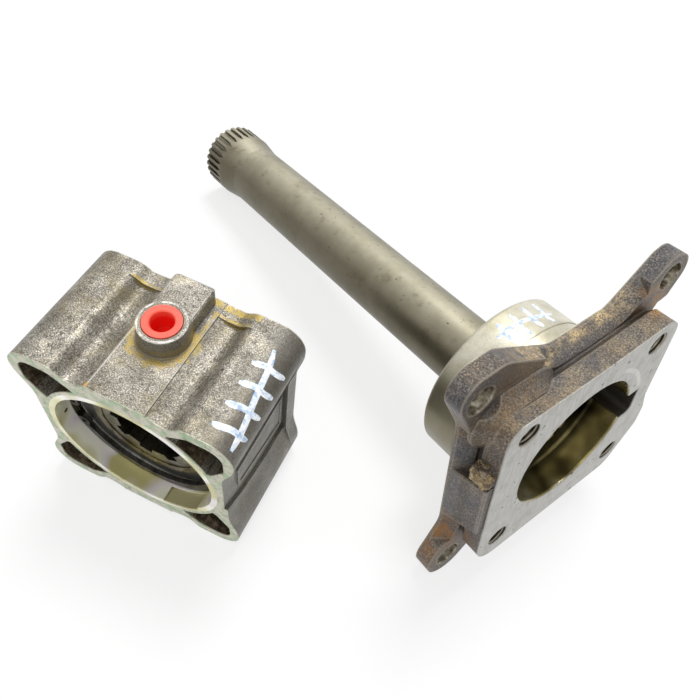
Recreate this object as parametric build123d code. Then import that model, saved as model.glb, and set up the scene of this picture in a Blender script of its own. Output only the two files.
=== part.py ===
"""Power take off unit, taken apart into its two halves as they lie on a bench.

The clutch housing is a pressure-cast aluminium body that carries the splined pump coupling, its
ball bearing, the shift piston and the shift sleeve. The mounting flange is an iron casting with a
turned spigot that carries the long drive shaft. Each half is modelled about its own bore axis:
local Z comes out of the front face at z = 0, local Y is up, and depths run towards -Z.
The housing then stands on its lower lobes, and the flange lies on its two lower ears and on the
splined end of the shaft. The origin is the middle of the housing's front bore.
"""
from build123d import *
import math
import os

os.makedirs("parts", exist_ok=True)

# Joint face shared by the two halves and by the pump
bolt_pitch = 80.0            # side of the square of four M12 screws
bolt_clear_r = 6.75
screw_core_r = 5.1
screw_mouth_r = 6.2
lobe_r = 12.5                # round corners centred on the screws
overcut = 1.0                # how far a cutter runs past the face it opens
bolt_half = bolt_pitch / 2
body_half = bolt_half + lobe_r    # half width of both square bodies
pilot_r = bolt_half

# Clutch housing, outside
housing_depth = 63.0
rear_band = 8.0              # full-height band behind the recessed sides
strip_half = 14.0            # raised strip along the middle of top and bottom
strip_y = body_half - 1.9
valley_x = 22.0
lobe_flat_x = bolt_half - 8.0
waist_half = 18.0
recess = (5.2, 6.3, 0.9, 0.0)     # valley drop, waist drop, strip step, extra reach of the lobes
band = (3.0, 3.4, 0.4, 1.5)
ledge_y = 9.0                # where the lower right side steps out, at the front face
ledge_step = 1.6
ledge_fall = 20.4            # the step slopes down to here and then runs level
ledge_level_from = 37.0
panel_rise = 0.9
panel_corners = ((10.5, -11.5), (12.0, -53.0), (-12.4, -52.4), (-5.2, -11.6))
panel_frame = 1.6

# Clutch housing, corner pockets round the screws
pocket_depth = 42.0
pocket_wall = 4.6
pocket_ring_r = pilot_r + 4.8
pocket_tail = 0.48 * pocket_ring_r
pocket_shoulder = bolt_half - 8.0
pocket_tail_r = 1.2

# Clutch housing, front bore and bearing
pilot_depth = 9.5
relief_r = pilot_r + 1.3
relief_len = 8.0
relief_from, relief_to = -75.0, -40.0
weep_r = 1.3
weep_depth = 6.0
clip_t = 2.5
clip_clear = 0.05
clip_groove = 1.75
shoulder_t = 4.0

# Shift piston and the guide tube it slides on
cylinder_r = pilot_r - 2.0
spring_room = 4.0            # between the cylinder and the piston's skirt
skirt_out_r = cylinder_r - spring_room
skirt_in_r = skirt_out_r - 2.0
tube_out_r = skirt_in_r - 1.0
tube_in_r = tube_out_r - 2.5
tube_len = 17.0
slide_gap = 0.05
piston_stop = 1.9
piston_head = 8.0
stroke = 9.0
stop_gap = 0.3
ring_gap = 0.1
oring_r = 1.4
outer_seal_back = 5.6
inner_seal_back = 2.4
inner_rib = 1.5
rib_clear = 0.9
washer_t = 1.5
skirt_lip = 1.4

# Shift sleeve
sleeve_r = tube_in_r - 1.5
sleeve_flange_r = skirt_in_r - 1.0
washer_in_r = sleeve_r + 0.4
sleeve_flange_t = 3.0
sleeve_lead = 9.0            # body ahead of its flange
sleeve_len = 33.0

# Return spring
spring_wire = 2.0             # square section
spring_mean_r = skirt_out_r + 0.525 * spring_room
spring_turns = 3.0
spring_clip_t = 2.0

# Pump coupling bearing
pump_brg_bore_r = tube_in_r - 3.5
pump_brg_w = 16.0
pump_ball_r = 4.35
pump_balls = 13
land_gap = 3.7               # from the ball circle to each ring's land
seal_t = 0.9
seal_inset = 0.5
race_gap = 0.15

# Pump coupling
coupling_front = 12.6
coupling_teeth = 8
tooth_root_r = pump_brg_bore_r - 4.4
tooth_tip_r = tooth_root_r - 3.6
tooth_space = 6.7
socket_depth = 24.4
web_t = 4.0
coupling_collar_r = pump_brg_bore_r + 2.6
coupling_collar_t = 2.8
coupling_tail = 19.0

# Clutch spline, shared by coupling, sleeve and drive shaft
clutch_teeth = 16
clutch_tip_r = sleeve_r - 5.0
clutch_root_r = clutch_tip_r - 3.0
clutch_tooth = 3.9
clutch_gap = 0.12

# Air port boss and plug
port_depth_z = 35.7
boss_r = 10.8
boss_base_r = 12.2
boss_top = body_half + 7.5
boss_base = body_half - 6.5
pad_half = 9.8
pad_top = body_half + 6.9
pad_rear = 61.5
port_r = 6.6
port_floor = body_half - 7.5
spot_r = 8.7
spot_t = 1.2
passage_r = 1.6
plug_flange_r = 8.35
plug_flange_t = 1.7
plug_gap = 0.1
plug_len = 13.0
plug_recess_r = 5.15
plug_floor_t = 2.4

# Mounting flange casting
plate_t = 12.5
plate_corner_r = 9.5
low_corner_r = 13.5
plate_top, plate_low = body_half - 1.9, body_half + 1.9
groove_t = 1.2
groove_in = 2.6
groove_slope = 2.4
slope_t = 7.2                # the eared flange slopes up from the groove
slope_in = 5.2
ear_plate_t = 9.0
ear_x, ear_y = body_half + 4.0, body_half + 7.8
ear_r = 12.6                 # tips of the two lower ears, which the flange lies on
upper_ear_r = 11.2
ear_hole_r = 6.75
neck_x, neck_y, neck_r = ear_x - 19.8, ear_y - 22.5, 17.5
broad_ear = ((0.9 - ear_x, ear_y + 1.9, 10.9), (9.0 - ear_x, ear_y + 3.9, 9.2),
             (44.5 - ear_x, ear_y - 13.3, 6.3), (16.5 - ear_x, ear_y - 22.3, 15.6))
ear_fillet = 14.0
ear_flat_r = 14.5
broad_flat_r = 21.0
broad_flat_end = (27.5 - ear_x, ear_y + 0.7, 8.0)
core_half_x, core_half_y = body_half + 4.5, body_half + 0.1
spot_face_r = 10.6
web_from = plate_corner_r - body_half
web_ends = ((web_from, plate_top - plate_corner_r), (web_from + 14.0, plate_top - plate_corner_r))
web_rise = 7.0               # cast web that ties the broad ear to the corner of the front plate
web_spread = 6.5
bulge_x = body_half + 5.1
slab_front_y = (-20.5, 14.0)      # side pad, from here to here up its front end
slab_rear_y = (-31.5, 7.0)
slab_front_z = 1.0
nub = (8.0, 9.5, 9.5)        # casting stub above the side pad
nub_at = (2.6, 19.0, -6.0)
nub_round = 2.4
nub_turn = -12

# Mounting flange, machined
spigot_r = pilot_r + 3.3
spigot_relief = 0.4
spigot_relief_len = 11.0
spigot_end = 54.0
spigot_chamfer = 1.2
face_bore_r = pilot_r - 5.0
mouth_bore_r = face_bore_r + 0.4          # wider mouth of the face bore, as far as the shaft's end
mouth_bore_len = 15.5
notch_half = 8.5
notch_r = face_bore_r + 7.3
notch_depth = 20.0
notch_corner_r = 3.0
seat_front = 33.0

# Drive shaft and its bearing
shaft_brg_out_r = spigot_r - 5.8
shaft_brg_bore_r = shaft_brg_out_r - 15.0
shaft_brg_w = 16.0
shaft_ball_r = 4.35
shaft_balls = 12
shaft_front = 16.0
shaft_clutch_len = 8.0
collar_r = shaft_brg_bore_r + 2.5
shaft_r = shaft_brg_bore_r - 4.3
shaft_step_r = shaft_brg_bore_r - 1.5
shaft_step_end = 58.0
shaft_clip_t = 1.75
shaft_clip_groove_r = shaft_brg_bore_r - 1.25
shaft_clip_out_r = shaft_brg_bore_r + 3.5
cone_start, cone_end = 270.0, 284.0
shaft_end = 302.0
end_spline_teeth = 28
end_spline_tip_r = shaft_r + 2.2
end_spline_root_r = end_spline_tip_r - 1.7
end_spline_runout = 4.0
end_chamfer = 1.0
centre_r = 3.0
centre_depth = 7.0

# Shaft seal
seal_w = 8.0
seal_wall = 1.2
lip_gap = 0.05
lip_foot = 2.2

# Where the flange half lies
flange_x, flange_y = 176.8, 86.8
flange_yaw = 61.1

# Depths that follow from the sizes above
brg_front = pilot_depth + clip_t + 2 * clip_clear
brg_rear = brg_front + pump_brg_w
cylinder_front = brg_rear + shoulder_t
tube_end = cylinder_front + tube_len
head_front = cylinder_front + stop_gap + piston_stop
head_rear = head_front + piston_head
rib_front = tube_end + rib_clear
washer_front = rib_front + inner_rib
sleeve_flange_front = washer_front + washer_t + ring_gap
sleeve_flange_rear = sleeve_flange_front + sleeve_flange_t
washer_back = sleeve_flange_rear + ring_gap
skirt_clip_front = washer_back + washer_t + ring_gap
skirt_end = skirt_clip_front + washer_t + skirt_lip
spring_clip_front = skirt_end + ring_gap
coupling_web = coupling_front + socket_depth
coupling_spline = coupling_web + web_t
coupling_end = coupling_spline + coupling_tail
groove_rear = plate_t + groove_t
ear_front = plate_t + 1.2
flange_rear = ear_front + ear_plate_t
seal_front = seat_front - seal_w
seat_rear = seat_front + shaft_brg_w
clutch_rear = shaft_front + shaft_clutch_len
ear_low = ear_y + ear_r
flange_tilt = math.degrees(math.atan2(ear_low - end_spline_tip_r, shaft_end - end_chamfer - flange_rear))
flange_z = (ear_low * math.cos(math.radians(flange_tilt))
            + flange_rear * math.sin(math.radians(flange_tilt)) - body_half)

stand_housing = Rot(90, 0, 0)
lay_flange = Pos(flange_x, flange_y, flange_z) * Rot(0, 0, flange_yaw) * Rot(90 - flange_tilt, 0, 0)


def disc(radius, front, rear):
    """Round solid about the bore axis between two depths."""
    return Pos(0, 0, -rear) * extrude(Circle(radius), rear - front)


def ring(outer, inner, front, rear):
    """Round solid with a clear bore between two depths."""
    return disc(outer, front, rear) - disc(inner, front - overcut, rear + overcut)


def cone(front_r, rear_r, front, rear):
    """Tapered round solid between two depths."""
    stand = (Align.CENTER, Align.CENTER, Align.MIN)
    return Pos(0, 0, -rear) * Cone(rear_r, front_r, rear - front, align=stand)


def slab(sketch, front, rear):
    """Sketch drawn in the face plane, made solid between two depths."""
    return Pos(0, 0, -rear) * extrude(sketch, rear - front)


def four_corners(shape):
    """The upper right shape with its mirror images in the other three corners."""
    pair = [shape, mirror(shape, about=Plane.YZ)]
    return pair + [mirror(item, about=Plane.XZ) for item in pair]


def join(shapes):
    """All the shapes as one."""
    result = shapes[0]
    for shape in shapes[1:]:
        result += shape
    return result


def sector(radius, start, end, front, rear):
    """Wedge about the bore axis between two angles in degrees."""
    angles = [start, (start + end) / 2, end]
    rim = [(radius * math.cos(math.radians(a)), radius * math.sin(math.radians(a))) for a in angles]
    return slab(make_face(Polyline((0, 0), *rim, close=True)), front, rear)


def straight_spline(teeth, root_r, tip_r, tooth, front, rear):
    """Straight-sided external spline: a root cylinder with parallel-sided teeth."""
    body = Circle(root_r)
    bar = Rectangle(tip_r, tooth, align=(Align.MIN, Align.CENTER))
    for turn in range(teeth):
        body += Rot(0, 0, 360 * turn / teeth) * bar
    return slab(body & Circle(tip_r), front, rear)


def snap_ring(free_r, width_far, width_near, gap_deg, thickness, front, lug_r, lug_at, outward):
    """Flat retaining ring with a gap and two eyelets, widest opposite its gap.

    outward is 1 for a ring that springs out into a bore and -1 for one that grips a shaft.
    lug_at is the direction of the gap in degrees.
    """
    shift = (width_far - width_near) / 2
    mean_width = (width_far + width_near) / 2
    other_r = free_r - outward * mean_width
    outer_r, inner_r = max(free_r, other_r), min(free_r, other_r)
    if outward > 0:
        flat = Circle(outer_r) - Pos(shift, 0) * Circle(inner_r)
    else:
        flat = Pos(-shift, 0) * Circle(outer_r) - Circle(inner_r)
    half_gap = math.radians(gap_deg / 2)
    reach = 2 * outer_r
    flat -= make_face(Polyline((0, 0), (reach * math.cos(half_gap), reach * math.sin(half_gap)),
                               (reach * math.cos(half_gap), -reach * math.sin(half_gap)), close=True))
    lug_radius = free_r - outward * lug_r
    lug_turn = math.degrees(half_gap) + math.degrees(lug_r / lug_radius)
    for side in (-1, 1):
        place = Rot(0, 0, side * lug_turn) * Pos(lug_radius, 0)
        flat += place * Circle(lug_r * 0.98)
        flat -= place * Circle(lug_r * 0.4)
    return slab(Rot(0, 0, lug_at) * flat, front, front + thickness)


def ball_bearing(bore_r, outer_r, width, front, ball_r, count):
    """Outer ring, inner ring, balls and cage of a deep groove bearing."""
    circle_r = (bore_r + outer_r) / 2
    middle = front + width / 2
    race = Pos(0, 0, -middle) * Torus(circle_r, ball_r + race_gap)
    outer = ring(outer_r, circle_r + land_gap, front, front + width) - race
    inner = ring(circle_r - land_gap, bore_r, front, front + width) - race
    balls = []
    cage_half = ball_r * 0.42
    cage = ring(circle_r + 1.1, circle_r - 1.1, middle - ball_r - 1, middle + ball_r + 1)
    for turn in range(count):
        place = Rot(0, 0, 360 * (turn + 0.3) / count) * Pos(circle_r, 0, -middle)
        balls.append(place * Sphere(ball_r))
        cage -= place * Rot(0, 90, 0) * Cylinder(ball_r + race_gap, 6 * cage_half)
    return outer, inner, Compound(children=balls), cage


def housing_quarter(section, ledge=0.0):
    """Outline of the upper right quarter, from the top middle to the right middle."""
    drop, waist, step, reach = section
    side = body_half - waist
    valley = (valley_x, body_half - drop)
    strip_edge = (strip_half, strip_y - step)
    flat_end = (lobe_flat_x - reach, body_half)
    lobe_side = (body_half, bolt_half)
    run = Line((0, strip_y), (strip_half, strip_y))
    run += Line((strip_half, strip_y), strip_edge)
    run += Spline(strip_edge, valley, tangents=((1, -0.4), (1, 0)))
    run += Spline(valley, flat_end, tangents=((1, 0), (1, 0)))
    run += Line(flat_end, (bolt_half, body_half))
    run += CenterArc((bolt_half, bolt_half), lobe_r, 0, 90)
    if reach:
        run += Line(lobe_side, (body_half, bolt_half - reach))
        lobe_side = (body_half, bolt_half - reach)
    run += Spline(lobe_side, (side + ledge, waist_half), tangents=((0, -1), (0, -1)))
    run += Line((side + ledge, waist_half), (side + ledge, ledge_y))
    if ledge:
        run += Line((side + ledge, ledge_y), (side, ledge_y))
    run += Line((side, ledge_y), (side, 0))
    return run


def housing_outline(section, ledge=0.0):
    """Closed outline of the housing; only the lower right side has the ledge."""
    plain = housing_quarter(section)
    upper = plain + mirror(plain, about=Plane.YZ)
    lower_left = mirror(mirror(plain, about=Plane.YZ), about=Plane.XZ)
    lower_right = mirror(housing_quarter(section, ledge), about=Plane.XZ)
    return make_face((upper + lower_left + lower_right).edges())


def screw_pocket():
    """Tapering pocket between the outer wall and the bore ring, round the upper right screw."""
    inside = body_half - pocket_wall
    tail_far = math.sqrt(pocket_ring_r**2 - pocket_tail**2)
    run = Polyline((pocket_tail, tail_far), (pocket_tail + 1, tail_far + 1.5),
                   (pocket_shoulder, inside - 1), (inside, inside - 1), (inside, pocket_shoulder),
                   (tail_far + 2.0, pocket_tail + 1), (tail_far, pocket_tail))
    middle = pocket_ring_r / math.sqrt(2)
    run += ThreePointArc((tail_far, pocket_tail), (middle, middle), (pocket_tail, tail_far))
    face = make_face(run)
    corner = face.vertices().sort_by(Axis((0, 0, 0), (1, 1, 0)))[-1]
    face = fillet(corner, lobe_r - pocket_wall - 0.3)
    shoulders = [v for v in face.vertices()
                 if abs(v.X - pocket_shoulder) < 0.01 or abs(v.Y - pocket_shoulder) < 0.01]
    return fillet(shoulders, pocket_tail_r * 4)


def port_boss():
    """Round port boss with the flat pad that runs from it to the rear of the top."""
    upright = Pos(0, 0, -port_depth_z) * Rot(-90, 0, 0)
    cheek = Cone(boss_base_r, boss_r, boss_top - boss_base, align=(Align.CENTER, Align.CENTER, Align.MIN))
    boss = upright * Pos(0, 0, boss_base) * cheek
    pad_len = pad_rear - port_depth_z
    pad = Box(2 * pad_half, pad_top - boss_base, pad_len, align=(Align.CENTER, Align.MIN, Align.MAX))
    pad = fillet(pad.edges().filter_by(Axis.Y).group_by(Axis.Z)[0], 2.0)
    pad = chamfer(pad.edges().group_by(Axis.Y)[-1], 0.8)
    return boss + Pos(0, boss_base, -port_depth_z) * pad


def upright_hole(radius, low, high, depth):
    """Cutter for a hole along local Y at a depth behind the front face."""
    return Pos(0, low, -depth) * Rot(-90, 0, 0) * extrude(Circle(radius), high - low)


def clutch_housing():
    """Cast body: outline, screw pockets, stepped bore, guide tube and air port."""
    band_front = housing_depth - rear_band
    body = slab(housing_outline(recess, ledge_step), 0, band_front)
    body += slab(housing_outline(band), band_front, housing_depth)
    side = Plane.YZ.offset(body_half - recess[1])
    above_ledge = Polyline((-ledge_y + overcut, overcut), (-ledge_y, 0), (-ledge_y - 7, -16),
                           (-ledge_fall, -ledge_level_from), (-ledge_fall, -band_front),
                           (-ledge_y + overcut, -band_front), close=True)
    body -= extrude(side * make_face(above_ledge), 3 * ledge_step)
    panel = make_face(Polyline(*panel_corners, close=True))
    body += extrude(side.offset(-overcut) * panel, overcut + panel_rise)
    body -= extrude(side.offset(panel_rise / 2) * offset(panel, -panel_frame), panel_rise)
    body += port_boss()
    for pocket in four_corners(slab(screw_pocket(), -overcut, pocket_depth)):
        body -= pocket
    for x in (-bolt_half, bolt_half):
        for y in (-bolt_half, bolt_half):
            body -= Pos(x, y) * disc(bolt_clear_r, -overcut, housing_depth + overcut)
    body -= disc(pilot_r, -overcut, brg_rear)
    body -= ring(relief_r, pilot_r - overcut, -overcut, relief_len) & sector(
        2 * relief_r, relief_from, relief_to, -3 * overcut, relief_len + overcut)
    body -= disc(pilot_r + clip_groove, pilot_depth, brg_front)
    body -= disc(tube_in_r, brg_rear - overcut, tube_end + overcut)
    body -= ring(cylinder_r, tube_out_r, cylinder_front, tube_end)
    body -= disc(cylinder_r, tube_end, housing_depth + overcut)
    clip_end = spring_clip_front + spring_clip_t + clip_clear
    body -= disc(cylinder_r + clip_groove, spring_clip_front, clip_end)
    body -= cone(cylinder_r, cylinder_r + 1.5, housing_depth - 1.0, housing_depth + 0.5)
    body -= Pos(-pilot_r, 0, -weep_depth) * Rot(0, 90, 0) * Cylinder(weep_r, 2 * pocket_wall + 8)
    body -= upright_hole(port_r, port_floor, boss_top + overcut, port_depth_z)
    body -= upright_hole(spot_r, boss_top - spot_t, boss_top + overcut, port_depth_z)
    passage_at = cylinder_front + passage_r + stop_gap
    body -= upright_hole(passage_r, cylinder_r - overcut, port_floor + overcut, passage_at)
    return body


def port_plug():
    """Moulded cap plug: flange in the spot face, hollow body in the port."""
    top = boss_top - spot_t + plug_flange_t
    body = upright_hole(plug_flange_r, boss_top - spot_t, top, port_depth_z)
    body += upright_hole(port_r - plug_gap, top - plug_len, top, port_depth_z)
    body -= upright_hole(plug_recess_r, top - plug_len + plug_floor_t, top + overcut, port_depth_z)
    body -= Pos(0, top - 0.5, -port_depth_z) * Rot(-90, 0, 0) * Cone(
        plug_recess_r, plug_recess_r + 0.6, 0.6, align=(Align.CENTER, Align.CENTER, Align.MIN))
    return body


def pump_coupling():
    """Turned coupling: straight-toothed socket in front, clutch spline behind."""
    body = disc(pump_brg_bore_r, coupling_front, coupling_spline)
    body += disc(coupling_collar_r, brg_rear, brg_rear + coupling_collar_t)
    body -= disc(tooth_tip_r, coupling_front - overcut, coupling_web)
    space = Rectangle(tooth_root_r, tooth_space, align=(Align.MIN, Align.CENTER))
    spaces = join([Rot(0, 0, 360 * (turn + 0.5) / coupling_teeth + 8) * space
                   for turn in range(coupling_teeth)])
    body -= slab(spaces & Circle(tooth_root_r), coupling_front - overcut, coupling_web)
    return body + straight_spline(clutch_teeth, clutch_root_r, clutch_tip_r, clutch_tooth,
                                  coupling_spline, coupling_end)


def shift_sleeve():
    """Sleeve with an internal clutch spline and a thrust flange."""
    front = sleeve_flange_front - sleeve_lead
    body = disc(sleeve_r, front, front + sleeve_len)
    body += disc(sleeve_flange_r, sleeve_flange_front, sleeve_flange_rear)
    return body - straight_spline(
        clutch_teeth, clutch_root_r + clutch_gap, clutch_tip_r + clutch_gap,
        clutch_tooth + 2 * clutch_gap, front - overcut, front + sleeve_len + overcut)


def shift_piston():
    """Annular piston with its skirt, inner rib and two seal grooves."""
    bore_r = tube_out_r + slide_gap
    body = disc(cylinder_r - slide_gap, head_front, head_rear)
    body += disc(skirt_out_r, head_front - piston_stop, skirt_end)
    body -= disc(bore_r, head_front - piston_stop - overcut, head_rear)
    body -= disc(skirt_in_r, head_rear, rib_front)
    body -= disc(washer_in_r + ring_gap, rib_front - overcut, washer_front + overcut)
    body -= disc(skirt_in_r, washer_front, skirt_end + overcut)
    body -= disc(skirt_in_r + 0.8, skirt_clip_front, skirt_clip_front + washer_t)
    groove = oring_r + ring_gap
    body -= ring(cylinder_r, cylinder_r - 2 * oring_r - ring_gap, head_front + outer_seal_back - groove,
                 head_front + outer_seal_back + groove)
    body -= disc(bore_r + 2 * oring_r + ring_gap, head_front + inner_seal_back - groove,
                 head_front + inner_seal_back + groove)
    return body


def seal_ring(mean_r, depth):
    """Round-section rubber ring."""
    return Pos(0, 0, -depth) * Torus(mean_r, oring_r)


def thrust_washer(front):
    """Flat washer between the piston and the sleeve's flange."""
    return ring(skirt_in_r - ring_gap, washer_in_r, front, front + washer_t)


def return_spring():
    """Coil spring of square wire between the piston's head and the rear clip."""
    front = head_rear + spring_wire / 2 + ring_gap
    rear = spring_clip_front - spring_wire / 2 - ring_gap
    coil = Helix((rear - front) / spring_turns, rear - front, spring_mean_r)
    section = Plane(coil @ 0, x_dir=(1, 0, 0), z_dir=coil % 0) * Rectangle(spring_wire, spring_wire)
    return Pos(0, 0, -rear) * sweep(section, path=coil, is_frenet=True)


def ear_centres():
    """The four ear holes, clockwise from the upper left."""
    return [(-ear_x, ear_y), (ear_x, ear_y), (ear_x, -ear_y), (-ear_x, -ear_y)]


def ear(x, y):
    """Outline of one ear with its neck; the upper left one is broader than the rest."""
    if x < 0 < y:
        parts = broad_ear
    else:
        tip_r = upper_ear_r if y > 0 else ear_r
        parts = ((x, y, tip_r), (math.copysign(neck_x, x), math.copysign(neck_y, y), neck_r))
    return make_hull([edge for px, py, r in parts for edge in (Pos(px, py) * Circle(r)).edges()])


def ear_outline():
    """Rear flange with four ears that run into it in hollow curves."""
    outline = Rectangle(2 * core_half_x, 2 * core_half_y)
    for centre in ear_centres():
        outline += ear(*centre)
    roots = [v for v in outline.vertices()
             if abs(abs(v.X) - core_half_x) < 0.01 or abs(abs(v.Y) - core_half_y) < 0.01]
    return fillet(roots, ear_fillet)


def ear_flats():
    """Areas of the rear flange that are machined flat round the ear holes."""
    areas = [Pos(x, y) * Circle(ear_flat_r) for x, y in ear_centres()]
    end_x, end_y, end_r = broad_flat_end
    broad = (Pos(-ear_x, ear_y) * Circle(broad_flat_r)).edges()
    broad += (Pos(end_x, end_y) * Circle(end_r)).edges()
    return areas[1:] + [make_hull(broad)]


def plate_outline():
    """Front plate: square with a hollow top edge and a swell at the lower right."""
    run = ThreePointArc((-body_half, plate_top), (0, plate_top - 1.4), (body_half - 0.5, plate_top))
    run += Polyline((body_half - 0.5, plate_top), (body_half + 0.7, -4), (bulge_x, -17), (bulge_x, -30),
                    (bulge_x - 15, -plate_low), (-body_half, -plate_low), (-body_half - 0.8, 0),
                    (-body_half, plate_top))
    face = make_face(run)
    low_corner = [v for v in face.vertices() if v.X < 0 and v.Y < -plate_top]
    face = fillet(low_corner, low_corner_r)
    corners = [v for v in face.vertices() if v.Y > plate_top - 1 or v.X > 0 and v.Y < 1 - plate_top]
    face = fillet(corners, plate_corner_r)
    return fillet([v for v in face.vertices() if v.X > body_half + 0.3 and abs(v.Y + 17) < 14], 6.0)


def corner_web():
    """Cast web between the broad ear and the front plate's corner, sloping up to the plate."""

    def outline(radius, depth):
        edges = [edge for centre in web_ends for edge in (Pos(*centre) * Circle(radius)).edges()]
        return Pos(0, 0, -depth) * make_hull(edges)

    foot_r = plate_corner_r + web_spread
    foot_top = outline(foot_r, ear_front - 0.8)
    foot = loft([outline(foot_r, ear_front + overcut), foot_top], ruled=True)
    return foot + loft([foot_top, outline(plate_corner_r - 0.2, ear_front - web_rise)], ruled=True)


def side_slab():
    """Flat cast pad on the left side, its ends slanting towards the lower ear."""
    profile = Polyline((slab_front_y[1], -slab_front_z), (slab_rear_y[1], -flange_rear),
                       (slab_rear_y[0], -flange_rear), (slab_front_y[0], -slab_front_z), close=True)
    pad = extrude(Plane.YZ.offset(-core_half_x - 0.3) * make_face(profile), 10)
    return chamfer(pad.edges().group_by(Axis.X)[0], 0.8)


def casting_nub():
    """Rough stub left where the metal was poured, above the side pad."""
    stub = fillet(Box(*nub).edges(), nub_round)
    return Pos(-core_half_x, 0, 0) * Pos(*nub_at) * Rot(nub_turn, 0, 0) * stub


def mounting_flange():
    """Iron casting: front plate, groove, eared rear flange, spigot and stepped bore."""
    plate = plate_outline()
    body = slab(plate, 0, plate_t)
    body = chamfer(body.faces().sort_by(Axis.Z)[0].edges(), groove_slope)
    body += slab(offset(plate, -groove_in), plate_t - overcut, ear_front + slope_t)
    outline = ear_outline()
    body += slab(outline, groove_rear + slope_t, flange_rear)
    body += Pos(0, 0, -groove_rear - slope_t) * extrude(
        outline, slope_t, taper=math.degrees(math.atan2(slope_in, slope_t)))
    for area in ear_flats():
        body += slab(outline & area, ear_front, groove_rear + slope_t + overcut)
    body += corner_web()
    for centre in ear_centres():
        body -= Pos(*centre) * disc(spot_face_r, 0, ear_front)
    body += side_slab() + casting_nub()
    body += disc(spigot_r - spigot_relief, flange_rear - overcut, flange_rear + spigot_relief_len)
    body += disc(spigot_r, flange_rear + spigot_relief_len, spigot_end - spigot_chamfer)
    body += cone(spigot_r, spigot_r - spigot_chamfer, spigot_end - spigot_chamfer, spigot_end)
    for centre in ear_centres():
        body -= Pos(*centre) * disc(ear_hole_r, 0, flange_rear + overcut)
    for x in (-bolt_half, bolt_half):
        for y in (-bolt_half, bolt_half):
            body -= Pos(x, y) * disc(screw_core_r, -overcut, flange_rear + overcut)
            body -= Pos(x, y) * cone(screw_mouth_r, screw_core_r, 0, screw_mouth_r - screw_core_r)
    body -= disc(face_bore_r, -overcut, seat_front)
    body -= disc(mouth_bore_r, -overcut, mouth_bore_len)
    body -= cone(mouth_bore_r + 0.5, mouth_bore_r, 0, 0.5)
    notch = Rectangle(notch_r, 2 * notch_half, align=(Align.MIN, Align.CENTER))
    notch = fillet([v for v in notch.vertices() if v.X > 1 and v.Y < 0], notch_corner_r)
    body -= slab(notch, -overcut, notch_depth)
    body -= disc(shaft_brg_out_r, seat_front, spigot_end + overcut)
    body -= disc(shaft_brg_out_r + clip_groove, seat_rear, seat_rear + clip_t + clip_clear)
    return body


def end_spline_cuts():
    """Cutters for the spaces of the fine end spline, each with a pointed run-out."""
    pitch = 2 * math.pi * end_spline_tip_r / end_spline_teeth
    out_r = end_spline_tip_r + overcut
    wide, narrow = pitch * 0.36, pitch * 0.2

    def space(depth, low, half_low, half_top):
        outline = Polyline((low, half_low), (out_r, half_top), (out_r, -half_top), (low, -half_low),
                           close=True)
        return Pos(0, 0, -depth) * make_face(outline)

    full_from = cone_end + end_spline_runout
    straight = loft([space(shaft_end + overcut, end_spline_root_r, narrow, wide),
                     space(full_from, end_spline_root_r, narrow, wide)], ruled=True)
    runout = loft([space(full_from, end_spline_root_r, narrow, wide),
                   space(cone_end, end_spline_tip_r - 0.1, narrow * 0.1, wide * 0.2)], ruled=True)
    one = straight + runout
    return [Rot(0, 0, 360 * turn / end_spline_teeth) * one for turn in range(end_spline_teeth)]


def drive_shaft():
    """Long shaft: clutch teeth, seal collar, bearing journal, plain run and splined end."""
    body = straight_spline(clutch_teeth, clutch_root_r, clutch_tip_r, clutch_tooth,
                           shaft_front, clutch_rear)
    body += disc(collar_r, clutch_rear, seat_front)
    body += disc(shaft_brg_bore_r, seat_front, seat_rear)
    clip_rear = seat_rear + shaft_clip_t
    body += disc(shaft_clip_groove_r, seat_rear, clip_rear)
    body += disc(shaft_brg_bore_r - 0.3, clip_rear, shaft_step_end - 2.0)
    body += cone(shaft_step_r, shaft_r, shaft_step_end - 2.0, shaft_step_end + 2.0)
    body += disc(shaft_r, shaft_step_end, cone_start)
    body += cone(shaft_r, end_spline_tip_r, cone_start, cone_end)
    body += disc(end_spline_tip_r, cone_end, shaft_end - end_chamfer)
    body += cone(end_spline_tip_r, end_spline_tip_r - end_chamfer, shaft_end - end_chamfer, shaft_end)
    body -= end_spline_cuts()
    body -= cone(centre_r, 0.5, shaft_front - 0.01, shaft_front + centre_depth)
    body -= cone(0.5, centre_r, shaft_end - centre_depth, shaft_end + 0.01)
    return body


def seal_case():
    """Pressed steel case of the radial shaft seal."""
    case = ring(face_bore_r, face_bore_r - seal_wall, seal_front, seat_front)
    return case + ring(face_bore_r, collar_r + 3.0, seat_front - seal_wall, seat_front)


def seal_lip():
    """Rubber lip moulded on the seal's case, running on the shaft's collar."""
    outer = collar_r + 5.0
    profile = Polyline((outer, -seat_front + seal_wall), (outer, -seat_front + seal_wall + lip_foot),
                       (collar_r + 2.6, -seal_front - 1.0), (collar_r + 1.2, -seal_front - 0.4),
                       (collar_r + lip_gap, -seal_front - 2.2),
                       (collar_r + 1.6, -seat_front + seal_wall + 1.5),
                       (collar_r + 1.6, -seat_front + seal_wall), close=True)
    return revolve(Plane.XZ * make_face(profile), Axis.Z)


def write(name, shape, place):
    """Place one piece in the shared frame and write it."""
    piece = place * shape
    piece.label = name
    export_step(piece, f"parts/{name}.step")


pump_outer, pump_inner, pump_ball_set, pump_cage = ball_bearing(
    pump_brg_bore_r, pilot_r, pump_brg_w, brg_front, pump_ball_r, pump_balls)
shaft_outer, shaft_inner, shaft_ball_set, shaft_cage = ball_bearing(
    shaft_brg_bore_r, shaft_brg_out_r, shaft_brg_w, seat_front, shaft_ball_r, shaft_balls)
pump_ball_circle = (pump_brg_bore_r + pilot_r) / 2
pump_seal = ring(pump_ball_circle + land_gap, pump_ball_circle - land_gap + ring_gap,
                 brg_front + seal_inset, brg_front + seal_inset + seal_t)

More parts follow.
